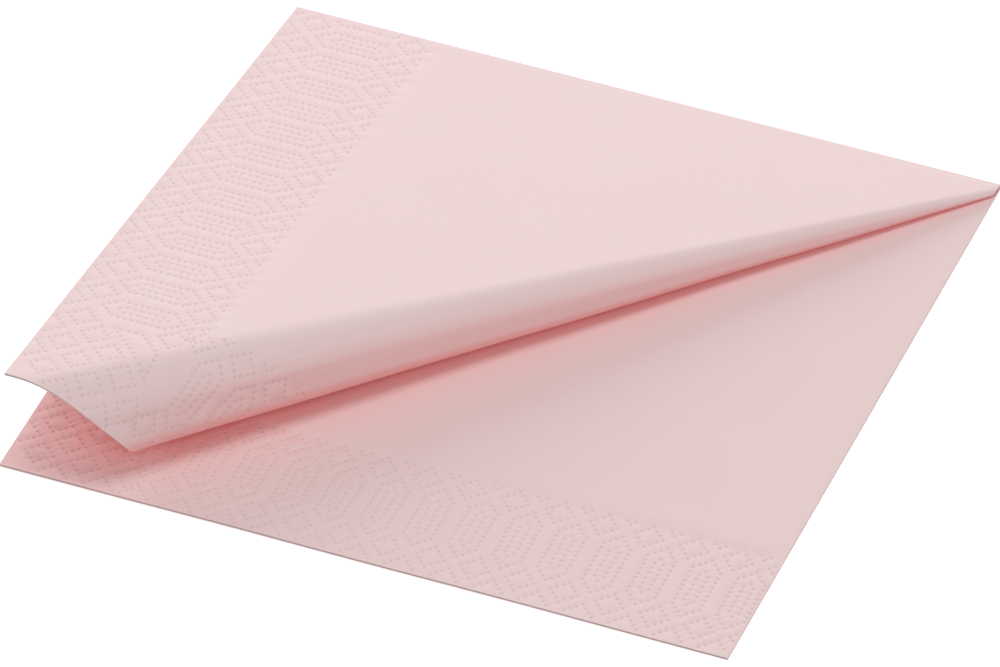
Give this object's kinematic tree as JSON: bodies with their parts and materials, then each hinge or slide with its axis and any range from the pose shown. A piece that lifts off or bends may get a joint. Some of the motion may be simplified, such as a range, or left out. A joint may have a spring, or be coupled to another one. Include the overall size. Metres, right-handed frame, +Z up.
{
  "type": "folded paper napkin",
  "caption": "Square tissue paper napkin folded twice into a quarter, with an embossed border and one free corner raised, bent over and rolled under.",
  "frame": {"origin": "centre of the folded square, on the plane that the napkin lies on", "axes": "+Z up; +X towards the first fold and +Y towards the second fold, which meet at the closed corner; the raised free corner is at -X -Y"},
  "size_m": [0.165, 0.1649, 0.025],
  "materials": {
    "tissue": "soft matte tissue with an embossed dot border"
  },
  "bodies": {
    "root": {"napkin": "tissue"}
  },
  "joints": []
}
